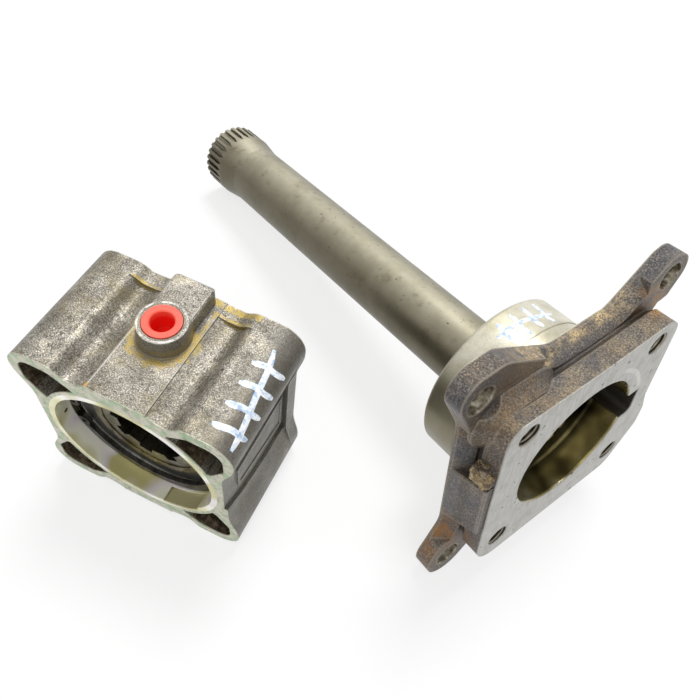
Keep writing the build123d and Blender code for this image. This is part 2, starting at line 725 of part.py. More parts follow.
housing_pieces = {
    "clutch_housing": clutch_housing(),
    "port_plug": port_plug(),
    "bearing_clip": snap_ring(pilot_r + clip_groove, 6.6, 4.6, 16, clip_t,
                              pilot_depth + clip_clear, 3.4, 186, 1),
    "pump_bearing_outer_ring": pump_outer,
    "pump_bearing_inner_ring": pump_inner,
    "pump_bearing_balls": pump_ball_set,
    "pump_bearing_cage": pump_cage,
    "pump_bearing_seal": pump_seal,
    "pump_coupling": pump_coupling(),
    "shift_piston": shift_piston(),
    "piston_outer_seal": seal_ring(cylinder_r - ring_gap - oring_r, head_front + outer_seal_back),
    "piston_inner_seal": seal_ring(tube_out_r + ring_gap + oring_r, head_front + inner_seal_back),
    "front_thrust_washer": thrust_washer(washer_front),
    "rear_thrust_washer": thrust_washer(washer_back),
    "skirt_clip": snap_ring(skirt_in_r + 0.75, 3.0, 2.0, 14, washer_t - ring_gap,
                            skirt_clip_front + ring_gap / 2, 1.9, 40, 1),
    "shift_sleeve": shift_sleeve(),
    "return_spring": return_spring(),
    "spring_clip": snap_ring(cylinder_r + clip_groove - ring_gap, 4.8, 4.0, 14, spring_clip_t,
                             spring_clip_front + clip_clear / 2, 2.4, 90, 1),
}
flange_pieces = {
    "mounting_flange": mounting_flange(),
    "drive_shaft": drive_shaft(),
    "shaft_bearing_outer_ring": shaft_outer,
    "shaft_bearing_inner_ring": shaft_inner,
    "shaft_bearing_balls": shaft_ball_set,
    "shaft_bearing_cage": shaft_cage,
    "spigot_clip": snap_ring(shaft_brg_out_r + clip_groove - ring_gap, 5.4, 3.8, 16, clip_t,
                             seat_rear + clip_clear / 2, 3.0, 90, 1),
    "shaft_clip": snap_ring(shaft_clip_groove_r, 4.6, 3.2, 18, shaft_clip_t - clip_clear,
                            seat_rear + clip_clear / 2, 2.4, 270, -1),
    "shaft_seal_case": seal_case(),
    "shaft_seal_lip": seal_lip(),
}
for piece_name, piece_shape in housing_pieces.items():
    write(piece_name, piece_shape, stand_housing)
for piece_name, piece_shape in flange_pieces.items():
    write(piece_name, piece_shape, lay_flange)
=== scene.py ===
import bmesh
import bpy
import math
from mathutils import Euler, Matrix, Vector, noise


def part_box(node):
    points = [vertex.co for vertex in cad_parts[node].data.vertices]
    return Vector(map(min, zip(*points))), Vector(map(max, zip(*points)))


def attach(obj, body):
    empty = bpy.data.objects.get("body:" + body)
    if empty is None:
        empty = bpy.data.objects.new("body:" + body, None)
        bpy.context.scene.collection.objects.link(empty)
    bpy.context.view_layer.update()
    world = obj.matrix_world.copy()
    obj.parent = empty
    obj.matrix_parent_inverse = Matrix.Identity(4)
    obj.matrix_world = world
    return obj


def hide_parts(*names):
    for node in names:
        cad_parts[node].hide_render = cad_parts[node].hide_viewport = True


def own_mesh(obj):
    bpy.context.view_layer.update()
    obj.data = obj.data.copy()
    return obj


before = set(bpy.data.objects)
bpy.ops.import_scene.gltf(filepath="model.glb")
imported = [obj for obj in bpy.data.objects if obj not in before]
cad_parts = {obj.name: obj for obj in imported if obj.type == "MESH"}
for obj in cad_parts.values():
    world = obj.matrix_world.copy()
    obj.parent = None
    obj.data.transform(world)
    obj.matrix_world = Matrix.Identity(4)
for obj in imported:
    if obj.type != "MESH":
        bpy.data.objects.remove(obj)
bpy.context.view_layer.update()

# Clutch housing: aluminium alloy, pressure die cast and shot blasted, so its skin is a mottled grey
# with a fine sparkle. Both end faces and the bore are turned. Years of oil have left ochre stains,
# and the front face still carries thin pale green remains of its paper gasket.


def linear(hex_code):
    """A colour written as sRGB hex, as the linear RGBA that a socket takes."""
    parts = [int(hex_code[i:i + 2], 16) / 255 for i in (1, 3, 5)]
    return [c / 12.92 if c <= 0.04045 else ((c + 0.055) / 1.055) ** 2.4 for c in parts] + [1.0]


def node(tree, kind, *feeds, **settings):
    """Adds a node: capitalised settings are its sockets, the rest its properties, feeds go in order."""
    new = tree.nodes.new("ShaderNode" + kind)
    for key, value in settings.items():
        if key == "stops":
            ramp = new.color_ramp.elements
            while len(ramp) < len(value):
                ramp.new(1.0)
            for element, (place, colour) in zip(ramp, value):
                element.position, element.color = place, linear(colour)
        elif key[0].islower():
            setattr(new, key, value)
    sockets = [s for s in new.inputs if s.enabled]
    wired = list(zip(sockets, feeds))
    wired += [(next(s for s in sockets if s.name == key.replace("_", " ")), value)
              for key, value in settings.items() if key[0].isupper()]
    for socket, value in wired:
        if isinstance(value, bpy.types.NodeSocket):
            tree.links.new(value, socket)
        elif isinstance(value, str):
            socket.default_value = linear(value)
        else:
            socket.default_value = value
    return next(s for s in new.outputs if s.enabled)


def start_finish(name, **sockets):
    """A new material with its tree, shader and coordinates in metres: a Scale counts cells per metre."""
    made = bpy.data.materials.new(name)
    made.use_nodes = True
    shader = made.node_tree.nodes["Principled BSDF"]
    for key, value in sockets.items():
        shader.inputs[key.replace("_", " ")].default_value = value
    at = node(made.node_tree, "TexCoord").node.outputs["Object"]
    return made, made.node_tree, shader, at


def lay_on(shader, **sockets):
    """Links what varies over a surface to the shader's sockets."""
    for key, value in sockets.items():
        shader.id_data.links.new(value, shader.inputs[key.replace("_", " ")])


def dress(finish, *names):
    """Gives these CAD pieces the finish."""
    for name in names:
        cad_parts[name].data.materials.clear()
        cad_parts[name].data.materials.append(finish)


def near(tree, value, middle, reach, fade):
    """A mask that is 1 within reach of the middle and fades out beyond it."""
    away = node(tree, "Math", node(tree, "Math", value, middle, operation="SUBTRACT"), operation="ABSOLUTE")
    return node(tree, "MapRange", away, reach + fade, reach)


def both(tree, *masks):
    """Where all the masks are: they are multiplied, and a plain number weakens them."""
    result = masks[0]
    for mask in masks[1:]:
        result = node(tree, "Math", result, mask, operation="MULTIPLY")
    return result


def either(tree, *masks):
    """Where any of the masks is: the largest counts."""
    result = masks[0]
    for mask in masks[1:]:
        result = node(tree, "Math", result, mask, operation="MAXIMUM")
    return result


def paint(tree, mask, below, above, **settings):
    """One colour laid over another where the mask is 1."""
    return node(tree, "Mix", mask, below, above, data_type="RGBA", **settings)


def worn_edges(tree, radius, reach):
    """The normal rounded over a radius, a mask of the edges rubbed bright, and how open each point is."""
    soft = node(tree, "Bevel", samples=4, Radius=radius)
    true = node(tree, "NewGeometry").node.outputs["Normal"]
    turn = node(tree, "VectorMath", soft, true, operation="DOT_PRODUCT")
    occlusion = node(tree, "AmbientOcclusion", samples=6, only_local=True, Distance=reach)
    openness = occlusion.node.outputs["AO"]
    worn = both(tree, node(tree, "MapRange", turn, 0.985, 0.86), node(tree, "MapRange", openness, 0.62, 0.85))
    return soft, worn, openness


# sizes in metres: the bore runs along y from the front face at y = 0, with the air port on top, and its
# bright finish takes in the rim of that face
housing_depth, bright_r = 0.0630, 0.0430
pilot_r, pilot_depth, pocket_ring_r = 0.0400, 0.0095, 0.0448
port_y, boss_foot_r = 0.0357, 0.0122
left_step, right_step = -0.0140, 0.0127

cast_aluminium, tree, shader, at = start_finish("die_cast_aluminium_blasted")
x, y, z = node(tree, "SeparateXYZ", at).node.outputs
wide = node(tree, "Math", x, operation="ABSOLUTE")
tall = node(tree, "Math", z, operation="ABSOLUTE")
radius = node(tree, "VectorMath", node(tree, "CombineXYZ", x, 0.0, z), operation="LENGTH")
front = node(tree, "MapRange", y, 0.0005, 0.0002)
rear = node(tree, "MapRange", y, housing_depth - 0.0005, housing_depth - 0.0002)
flat = either(tree, front, rear)
in_bore = node(tree, "MapRange", radius, bright_r + 0.0001, bright_r - 0.0001)
soft, worn, openness = worn_edges(tree, 0.0008, 0.006)

# blasted skin: clouds of 13 mm, warm ones of 20 mm, dark specks of 2 mm, and a grit sparkle drawn at
# 0.6 mm, coarser than the real 0.3 mm
mottle = node(tree, "TexNoise", at, Scale=75.0, Detail=8.0, Roughness=0.65)
grain = node(tree, "TexNoise", at, Scale=1700.0, Detail=2.0, Roughness=0.8)
skin = node(tree, "ValToRGB", mottle, stops=[(0.33, "#8b867b"), (0.5, "#aaa59a"), (0.66, "#c9c6be")])
sparkle = node(tree, "ValToRGB", grain, stops=[(0.34, "#4c4945"), (0.5, "#82807d"), (0.64, "#d6d4d0")])
skin = paint(tree, 0.9, skin, sparkle, blend_type="OVERLAY")
specks = node(tree, "TexNoise", at, Scale=520.0, Detail=4.0, Roughness=0.6)
skin = paint(tree, node(tree, "MapRange", specks, 0.56, 0.64, 0.0, 0.8), skin, "#4a443a")
warm = node(tree, "TexNoise", at, Scale=48.0, Detail=6.0, Roughness=0.7)
skin = paint(tree, node(tree, "MapRange", warm, 0.5, 0.66, 0.0, 0.45), skin, "#94865f")

# painted shade on both sides, growing towards the outer lobes and starting further in on the right lobe
sideways = node(tree, "Math", node(tree, "Math", x, 0.006, operation="ADD"), operation="ABSOLUTE")
skin = paint(tree, node(tree, "MapRange", sideways, 0.0380, 0.0540, 0.0, 0.75), skin, "#66635c")

# ochre oil stains in blots of 4 mm: at the foot of the air port's boss, at the rear ends of the
# valleys, along the panel's right step and on the rear edge, all on the housing's top
blots = node(tree, "TexNoise", at, Scale=260.0, Detail=7.0, Roughness=0.75)
from_port = node(tree, "VectorMath", node(tree, "CombineXYZ", x, y), (0.0, port_y, 0.0), operation="DISTANCE")
at_boss = both(tree, node(tree, "MapRange", from_port, boss_foot_r + 0.0128, boss_foot_r + 0.0018),
               node(tree, "MapRange", y, 0.0480, 0.0420))
at_valley_ends = both(tree, near(tree, y, 0.0555, 0.0007, 0.0016), near(tree, wide, 0.0205, 0.0085, 0.0020))
at_right_step = both(tree, near(tree, x, right_step, 0.0004, 0.0022), near(tree, y, 0.0410, 0.0140, 0.0030))
at_rear_edge = both(tree, node(tree, "MapRange", y, 0.0560, 0.0600), near(tree, x, 0.0180, 0.0130, 0.0040))
stained = both(tree, either(tree, at_boss, at_valley_ends, at_right_step, at_rear_edge),
               near(tree, z, 0.0500, 0.0045, 0.0010), blots)
stained = both(tree, node(tree, "MapRange", stained, 0.38, 0.52, 0.0, 0.95),
               node(tree, "MapRange", grain, 0.38, 0.58, 0.6, 1.0))
skin = paint(tree, stained, skin, "#b29a48")

# the left edge of the middle panel: a low step, drawn as a thin line of painted shadow with a painted
# highlight beside it, and a gold drop of oil at its front end
panel_top = both(tree, node(tree, "MapRange", z, 0.0440, 0.0450), node(tree, "MapRange", y, 0.0450, 0.0440))
step_shadow = both(tree, near(tree, x, left_step, 0.00012, 0.0003), panel_top, 0.75)
skin = paint(tree, step_shadow, skin, "#3f3a30")
step_highlight = both(tree, near(tree, x, left_step + 0.0007, 0.0001, 0.0003), panel_top, 0.5)
skin = paint(tree, step_highlight, skin, "#d8d4c8")
drop = both(tree, near(tree, x, left_step, 0.0006, 0.0006), near(tree, y, 0.0014, 0.0010, 0.0006), panel_top)
skin = paint(tree, drop, skin, "#b58a3c")

# painted shade in the corners and on the boss's front cheek, and a bright rubbed rim and edges
skin = paint(tree, node(tree, "MapRange", openness, 0.62, 0.25, 0.0, 0.8), skin, "#39332a")
cheek_shade = both(tree, node(tree, "MapRange", from_port, boss_foot_r + 0.0008, boss_foot_r),
             node(tree, "MapRange", y, 0.0400, 0.0370), near(tree, z, 0.0545, 0.0040, 0.0015), 0.6)
skin = paint(tree, cheek_shade, skin, "#6d6a62")
rim = both(tree, near(tree, from_port, 0.0102, 0.0003, 0.0004), node(tree, "MapRange", z, 0.0580, 0.0590),
           node(tree, "MapRange", blots, 0.46, 0.56, 0.0, 0.8))
skin = paint(tree, either(tree, both(tree, worn, 0.75), rim), skin, "#e4e2db")

# pockets round the screws: brown with old oil, glossy where it lies thick
pocket = both(tree, node(tree, "MapRange", either(tree, wide, tall), 0.0484, 0.0482),
              node(tree, "MapRange", node(tree, "Math", wide, tall, operation="MINIMUM"), 0.0255, 0.0262),
              node(tree, "MapRange", radius, pocket_ring_r - 0.0005, pocket_ring_r - 0.0002),
              node(tree, "MapRange", y, 0.0003, 0.0006), node(tree, "MapRange", y, 0.0430, 0.0425))
oil = node(tree, "ValToRGB", blots, stops=[(0.36, "#2c241a"), (0.5, "#5d5140"), (0.64, "#9b8f78")])
skin = paint(tree, pocket, skin, oil)

# turned faces, dulled to cream, with the gasket's green film torn into shreds of 6 mm in front
shreds = node(tree, "TexNoise", at, Scale=170.0, Detail=8.0, Roughness=0.7)
film = both(tree, front, node(tree, "MapRange", shreds, 0.47, 0.56))
face = paint(tree, film, "#cbc7b6", "#a3b896")
face = paint(tree, node(tree, "MapRange", blots, 0.52, 0.62, 0.0, 0.8), face, "#88846c")
skin = paint(tree, flat, skin, face)

# pilot bore: bright, stained yellow and olive in patches of 26 mm, duller in its relief and brown beyond,
# with painted shade in its corners
tint = node(tree, "TexNoise", at, Scale=38.0, Detail=1.0)
pilot = node(tree, "ValToRGB", tint, stops=[
    (0.3, "#9c9560"), (0.42, "#ded9a8"), (0.5, "#fdfcea"), (0.57, "#f4edf0"), (0.66, "#cdc68a")])
relief = both(tree, node(tree, "MapRange", radius, pilot_r + 0.0002, pilot_r + 0.0005),
              near(tree, y, 0.0050, 0.0042, 0.0003))
pilot = paint(tree, relief, pilot, "#bdb68c")
deep = paint(tree, node(tree, "MapRange", y, pilot_depth, pilot_depth + 0.0007), pilot, "#6c6654")
deep = paint(tree, node(tree, "MapRange", openness, 0.6, 0.3, 0.0, 0.7), deep, "#3a3424")
skin = paint(tree, in_bore, skin, deep)

metal = node(tree, "Mix", flat, node(tree, "Mix", in_bore, 0.45, 0.3), 0.6)
rough = node(tree, "Mix", flat, node(tree, "MapRange", mottle, 0.35, 0.65, 0.46, 0.32), 0.42)
rough = node(tree, "Mix", in_bore, node(tree, "Mix", pocket, rough, 0.24), 0.2)
depth = node(tree, "MapRange", either(tree, flat, in_bore), 0.0, 1.0, 0.5, 0.06)
bump = node(tree, "Bump", Strength=depth, Distance=0.0006, Height=node(tree, "Mix", 0.4, grain, mottle),
            Normal=soft)
lay_on(shader, Base_Color=skin, Metallic=metal, Roughness=rough, Normal=bump)
dress(cast_aluminium, "clutch_housing")

# Cap plug: red polyethylene, injection moulded and pushed into the air port for storage.
# The thin moulded ring lets light through: its top is painted salmon as that glow, and it is deep red inside.
red_plastic, tree, shader, at = start_finish("polyethylene_red_moulded", Roughness=0.38, IOR=1.51,
                                             Subsurface_Weight=0.25, Subsurface_Scale=0.002)
x, y, z = node(tree, "SeparateXYZ", at).node.outputs
tint = paint(tree, node(tree, "MapRange", z, 0.0560, 0.0588), "#f21d12", "#ff6a55")
cloud = node(tree, "TexNoise", at, Scale=300.0, Detail=3.0)
tint = paint(tree, node(tree, "MapRange", cloud, 0.35, 0.8, 0.0, 0.25), tint, "#f2402f")
lay_on(shader, Base_Color=tint, Normal=node(tree, "Bump", Strength=0.15, Distance=0.0001, Height=cloud))
dress(red_plastic, "port_plug")

# Spline coupling, sleeve and piston: case-hardening steel, turned, hardened and then wetted with oil.
# The tool marks run round each piece and give long soft streaks of light.


def turned_finish(name, pale, dark, roughness, pitch, place=(0.0, 0.0, 0.0), turn=(math.pi / 2, 0.0, 0.0)):
    """Turned metal: colours, roughness and tool marks at a pitch in metres round the piece's own axis."""
    made, tree, shader, at = start_finish(name, Metallic=1.0)
    own = node(tree, "Mapping", at, vector_type="TEXTURE", Location=place, Rotation=turn)
    x, y, z = node(tree, "SeparateXYZ", own).node.outputs
    out = node(tree, "VectorMath", node(tree, "CombineXYZ", x, y), operation="LENGTH")
    rings = node(tree, "CombineXYZ", out, z)
    marks = node(tree, "TexNoise", rings, Scale=1 / pitch, Detail=3.0, Roughness=0.7)
    stain = node(tree, "TexNoise", at, Scale=170.0, Detail=6.0, Roughness=0.7)
    tone = paint(tree, node(tree, "MapRange", stain, 0.38, 0.66), dark, pale)
    tone = paint(tree, node(tree, "MapRange", marks, 0.3, 0.7, 0.0, 0.35), tone, dark)
    rough = node(tree, "MapRange", stain, 0.3, 0.7, roughness + 0.08, roughness - 0.06)
    bump = node(tree, "Bump", Strength=0.25, Distance=0.00008, Height=marks,
                Normal=node(tree, "Bevel", samples=4, Radius=0.0003))
    lay_on(shader, Base_Color=tone, Roughness=rough, Normal=bump)
    return made


oiled_steel = turned_finish("case_hardened_steel_oiled", "#8f8a7c", "#4d4838", 0.32, 0.0004)
dress(oiled_steel, "pump_coupling", "shift_sleeve")
piston_steel = turned_finish("piston_steel_turned", "#a3a094", "#5c584a", 0.3, 0.0003)
dress(piston_steel, "shift_piston")
washer_steel = turned_finish("ground_washer_steel", "#b5b3ab", "#6d6a60", 0.25, 0.0002)
dress(washer_steel, "front_thrust_washer", "rear_thrust_washer")

# Pump bearing: through-hardened chrome steel rings and balls, ground bright, in a machined brass cage.
# Old oil has turned the inner ring brown.
ground_steel = turned_finish("bearing_steel_ground", "#c9c8c2", "#85827a", 0.16, 0.00015)
dress(ground_steel, "pump_bearing_outer_ring", "pump_bearing_balls")
browned_steel = turned_finish("bearing_steel_browned_by_oil", "#8a7f62", "#4b4231", 0.24, 0.00015)
dress(browned_steel, "pump_bearing_inner_ring")
machined_brass = turned_finish("brass_machined", "#c6a75a", "#8a7138", 0.3, 0.0003)
dress(machined_brass, "pump_bearing_cage")

# Seals: nitrile rubber, moulded and matt black, pressed into the bearing or laid in grooves.
# A film of oil gives them a soft sheen, with worn patches of 4 mm that are paler.
black_rubber, tree, shader, at = start_finish("nitrile_rubber_black_oily", IOR=1.52)
wear = node(tree, "TexNoise", at, Scale=240.0, Detail=5.0, Roughness=0.65)
grit_size = 0.0006
grain = node(tree, "TexNoise", at, Scale=1 / grit_size, Detail=3.0)
lay_on(shader, Base_Color=paint(tree, node(tree, "MapRange", wear, 0.45, 0.7), "#0f0f10", "#2b2a27"),
       Roughness=node(tree, "MapRange", wear, 0.3, 0.7, 0.26, 0.46),
       Normal=node(tree, "Bump", Strength=0.3, Distance=0.0001, Height=grain))
dress(black_rubber, "pump_bearing_seal", "piston_outer_seal", "piston_inner_seal", "shaft_seal_lip")

# Snap rings of the housing: spring steel, stamped and phosphated, a dull grey-black that holds oil.
# Each is sprung into a groove and holds the bearing, the washers or the return spring.
phosphated_steel = turned_finish("spring_steel_phosphated", "#6f6d69", "#34322f", 0.4, 0.0005)
dress(phosphated_steel, "bearing_clip", "spring_clip", "skirt_clip")

# Return spring: square spring steel wire, cold wound in three turns. The piston presses it together
# against its clip; this wound piece stands for the rigid solid and moves with the piston.


def add_piece(name, mesh, finish):
    """A piece of the scene's own, of a mesh in a finish."""
    mesh.materials.append(finish)
    piece = bpy.data.objects.new(name, mesh)
    bpy.context.scene.collection.objects.link(piece)
    return piece


spring_low, spring_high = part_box("return_spring")
spring_length = spring_high[1] - spring_low[1]
wire, turns, steps, stroke = 0.0020, 3, 192, 0.0090
wire_corners = ((-wire, -wire / 2), (0.0, -wire / 2), (0.0, wire / 2), (-wire, wire / 2))
points, faces = [], []
for i in range(steps + 1):
    angle = -2 * math.pi * turns * i / steps
    middle = spring_low[1] + wire / 2 + (spring_length - wire) * i / steps
    for outward, along in wire_corners:
        reach = spring_high[0] + outward
        points.append((reach * math.cos(angle), middle + along, reach * math.sin(angle)))
for i in range(steps):
    for j in range(4):
        a, b = 4 * i + j, 4 * i + (j + 1) % 4
        faces.append((a, b, b + 4, a + 4))
faces += [(0, 1, 2, 3), tuple(4 * steps + j for j in range(4))]
wound = bpy.data.meshes.new("return_spring_wound")
wound.from_pydata(points, [], faces)
form = bmesh.new()
form.from_mesh(wound)
bmesh.ops.recalc_face_normals(form, faces=form.faces)
form.to_mesh(wound)
form.free()
wound.shade_smooth()
wound.set_sharp_from_angle(angle=math.radians(40))
spring = add_piece("return_spring_wound", wound, phosphated_steel)
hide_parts("return_spring")
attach(spring, "piston")
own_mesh(spring)

# Mounting flange: grey iron, sand cast, with a coarse rusty skin that oil has turned brown and blue.
# The face, the ear flats, the spigot and the bore are turned bright; four M12 holes are tapped.
flange_origin = (0.1768, 0.0868, 0.023345)
flange_tip, flange_heading = 10.683, 61.1
flange_turn = (math.radians(90 - flange_tip), 0.0, math.radians(flange_heading))

# in the flange's own frame its face is at z = 0 and its spigot points to -z; a zone reaches a little
# beyond the bore, notch or hole that it colours
flange_rear, spigot_r, bore_zone, notch_zone = -0.0227, 0.0433, 0.0360, 0.0446
ear_hole, ear_zone = (0.0565, 0.0603, 0.0), 0.0068
tapped_hole, tapped_zone, thread_pitch = (0.0400, 0.0400, 0.0), 0.0061, 0.00175
cast_iron, tree, shader, at = start_finish("grey_iron_sand_cast")
own = node(tree, "Mapping", at, vector_type="TEXTURE", Location=flange_origin, Rotation=flange_turn)
x, y, z = node(tree, "SeparateXYZ", own).node.outputs
out = node(tree, "VectorMath", node(tree, "CombineXYZ", x, y), operation="LENGTH")
face = node(tree, "MapRange", z, -0.0006, -0.0003)
below_face = node(tree, "MapRange", z, -0.0002, -0.0005)
behind = node(tree, "MapRange", z, flange_rear + 0.0005, flange_rear + 0.0001)
in_bore = both(tree, node(tree, "MapRange", out, bore_zone + 0.0002, bore_zone), below_face)
in_notch = both(tree, node(tree, "MapRange", out, notch_zone + 0.0002, notch_zone), below_face,
                node(tree, "MapRange", z, flange_rear + 0.0005, flange_rear + 0.0009))

# sand-cast skin: brown and blue-grey clouds of 17 mm, with sand grains drawn at 0.8 mm, coarser than
# the real 0.3 mm
soft, worn, openness = worn_edges(tree, 0.0018, 0.014)
cloud = node(tree, "TexNoise", at, Scale=60.0, Detail=8.0, Roughness=0.65)
sand = node(tree, "TexNoise", at, Scale=1250.0, Detail=4.0, Roughness=0.75)
skin = node(tree, "ValToRGB", cloud, stops=[
    (0.33, "#605f66"), (0.46, "#7d7a7a"), (0.56, "#8a8178"), (0.68, "#998b7c")])
tone = node(tree, "ValToRGB", sand, stops=[(0.36, "#34302e"), (0.5, "#7b7b7b"), (0.62, "#dcd3c3")])
skin = paint(tree, 0.85, skin, tone, blend_type="OVERLAY")

# rust and oil by place, in patches of 8 mm: orange at the root of the upper right ear and on the lower
# left one, brown oil round the broad ear
grains = node(tree, "TexNoise", at, Scale=1200.0, Detail=3.0, Roughness=0.85)
patches = node(tree, "TexNoise", at, Scale=130.0, Detail=7.0, Roughness=0.7)
patchy = node(tree, "MapRange", patches, 0.4, 0.6)
rust_and_oil = (
    ((0.0485, 0.0505, -0.0135), 0.013, "#c78f3c", 1.5),
    ((-0.0600, -0.0450, -0.0180), 0.024, "#8f6433", 0.95),
    ((0.0500, 0.0420, -0.0080), 0.012, "#8c6a4c", 0.6),
    ((-0.0560, 0.0400, -0.0190), 0.016, "#75592f", 0.8),
    ((-0.0380, 0.0600, -0.0150), 0.020, "#7d5f3b", 0.6),
    ((-0.0480, 0.0480, -0.0100), 0.010, "#6a4f2c", 0.7))
for place, reach, colour, weight in rust_and_oil:
    away = node(tree, "VectorMath", own, place, operation="DISTANCE")
    spot = both(tree, node(tree, "MapRange", away, reach, reach * 0.3, 0.0, weight), patchy)
    skin = paint(tree, spot, skin, colour)

# old gold in fine grains on the top slope, on the plate's upper edge and round the casting stub: partly
# rubbed skin and partly painted glints of light on these upward faces
on_slope = both(tree, node(tree, "MapRange", y, 0.0495, 0.0515), near(tree, z, -0.0180, 0.0030, 0.0025),
                near(tree, x, 0.0, 0.0320, 0.0080))
on_edge = both(tree, node(tree, "MapRange", y, 0.0465, 0.0485, 0.0, 0.25),
               node(tree, "MapRange", z, -0.0130, -0.0115))
from_stub = node(tree, "VectorMath", own, (-0.0590, 0.0190, -0.0050), operation="DISTANCE")
at_stub = node(tree, "MapRange", from_stub, 0.0065, 0.0035)
rubbed_gold_and_glints = both(tree, either(tree, on_slope, on_edge, at_stub),
            node(tree, "MapRange", grains, 0.44, 0.54), patchy)
skin = paint(tree, rubbed_gold_and_glints, skin, "#ead09a")

# painted shade along the crease behind the plate and in the corners, and bright rubbed edges
crease_shade = both(tree, near(tree, z, -0.0120, 0.0012, 0.0022),
              node(tree, "MapRange", patchy, 0.0, 0.6, 0.3, 0.75),
              node(tree, "MapRange", grains, 0.6, 0.4, 0.3, 1.0))
skin = paint(tree, crease_shade, skin, "#3b2f22")
skin = paint(tree, node(tree, "MapRange", openness, 0.8, 0.25, 0.0, 0.85), skin, "#2c251d")
skin = paint(tree, both(tree, worn, 0.7), skin, "#c3b8a6")

# machined face: pale, with scratches 1.4 mm apart, smudges, pits of 3 mm and a pale arc by the bore
scratched = node(tree, "VectorMath", own, (700.0, 90.0, 90.0), operation="MULTIPLY")
scratch = node(tree, "TexNoise", scratched, Scale=1.0, Detail=3.0)
bright = paint(tree, node(tree, "MapRange", scratch, 0.35, 0.65), "#a9a8a3", "#b9b8b3")
bright = paint(tree, node(tree, "MapRange", patchy, 0.55, 1.0, 0.0, 0.35), bright, "#8e8a80")
pits = node(tree, "MapRange", node(tree, "TexNoise", at, Scale=330.0, Detail=1.0), 0.72, 0.75, 0.0, 0.8)
bright = paint(tree, pits, bright, "#3a352d")
angle = node(tree, "Math", y, x, operation="ARCTAN2")
arc = both(tree, near(tree, out, 0.0415, 0.0008, 0.0008), node(tree, "MapRange", angle, 0.17, 0.3),
           node(tree, "MapRange", angle, 1.15, 1.0), node(tree, "MapRange", patchy, 0.1, 0.8, 0.05, 0.6))
bright = paint(tree, arc, bright, "#e2e0d9")
skin = paint(tree, face, skin, bright)
# the notch below the face is painted near black as shade
skin = paint(tree, in_notch, skin, "#2b251b")

# turned rear and spigot: pale with a metal grain, and painted shade on the lower left
spigot = paint(tree, node(tree, "MapRange", cloud, 0.35, 0.65), "#bdb79f", "#e6e2d2")
spigot = paint(tree, node(tree, "MapRange", grains, 0.5, 0.72, 0.0, 0.4), spigot, "#8c866f")
flank = node(tree, "Math", x, out, operation="DIVIDE")
spigot = paint(tree, node(tree, "MapRange", flank, -0.45, -0.9, 0.0, 0.9), spigot, "#726c56")
skin = paint(tree, behind, skin, spigot)

# bore: an olive film of oil in clouds of 24 mm, with painted shade that gets black further in
shade = node(tree, "TexNoise", at, Scale=42.0, Detail=2.0)
inside = node(tree, "ValToRGB", shade, stops=[
    (0.3, "#1f1a10"), (0.42, "#716640"), (0.52, "#b0a36c"), (0.64, "#dcd4b4")])
inside = paint(tree, node(tree, "MapRange", z, -0.0060, -0.0240, 0.0, 0.8), inside, "#120e08")
skin = paint(tree, in_bore, skin, inside)

# drilled ear holes, and M12 threads in the tapped holes, 1.75 mm a turn, with painted shade in the grooves
# and painted highlights on the crests; the four corners are folded onto one, because the holes mirror
# each other over both axes
quarter = node(tree, "CombineXYZ", node(tree, "Math", x, operation="ABSOLUTE"),
               node(tree, "Math", y, operation="ABSOLUTE"))
from_ear = node(tree, "VectorMath", quarter, ear_hole, operation="DISTANCE")
in_ear = node(tree, "MapRange", from_ear, ear_zone + 0.0001, ear_zone)
drilled = node(tree, "ValToRGB", node(tree, "TexNoise", at, Scale=300.0, Detail=3.0),
               stops=[(0.4, "#5e5748"), (0.55, "#a39c8a"), (0.65, "#c9c4b5")])
skin = paint(tree, in_ear, skin, drilled)
from_tapped = node(tree, "VectorMath", quarter, tapped_hole, operation="SUBTRACT")
hole_x, hole_y, _ = node(tree, "SeparateXYZ", from_tapped).node.outputs
hole_way = node(tree, "VectorMath", from_tapped, operation="LENGTH")
in_hole = both(tree, node(tree, "MapRange", hole_way, tapped_zone + 0.0002, tapped_zone),
               node(tree, "MapRange", z, -0.0002, -0.0006))
turn_share = node(tree, "Math", node(tree, "Math", hole_y, hole_x, operation="ARCTAN2"), 2 * math.pi,
                  operation="DIVIDE")
turns_in = node(tree, "Math", z, thread_pitch, operation="DIVIDE")
lead = node(tree, "Math", turns_in, turn_share, operation="ADD")
thread = node(tree, "Math", lead, 0.5, operation="PINGPONG")
skin = paint(tree, in_hole, skin, paint(tree, node(tree, "MapRange", thread, 0.1, 0.4), "#1c1812", "#9b9382"))

turned = either(tree, face, behind, in_bore, in_hole, in_ear)
metal = node(tree, "MapRange", turned, 0.0, 1.0, 0.3, 0.8)
rough = node(tree, "Mix", face, node(tree, "MapRange", cloud, 0.35, 0.65, 0.34, 0.48), 0.42)
rough = node(tree, "Mix", in_bore, node(tree, "Mix", behind, rough, 0.33), 0.16)
depth = node(tree, "Mix", in_hole, node(tree, "MapRange", turned, 0.0, 1.0, 0.7, 0.05), 1.0)
height = node(tree, "Mix", in_hole, node(tree, "Mix", 0.35, sand, cloud), thread)
bump = node(tree, "Bump", Strength=depth, Distance=0.0011, Height=height, Normal=soft)
lay_on(shader, Base_Color=skin, Metallic=metal, Roughness=rough, Normal=bump)
dress(cast_iron, "mounting_flange")

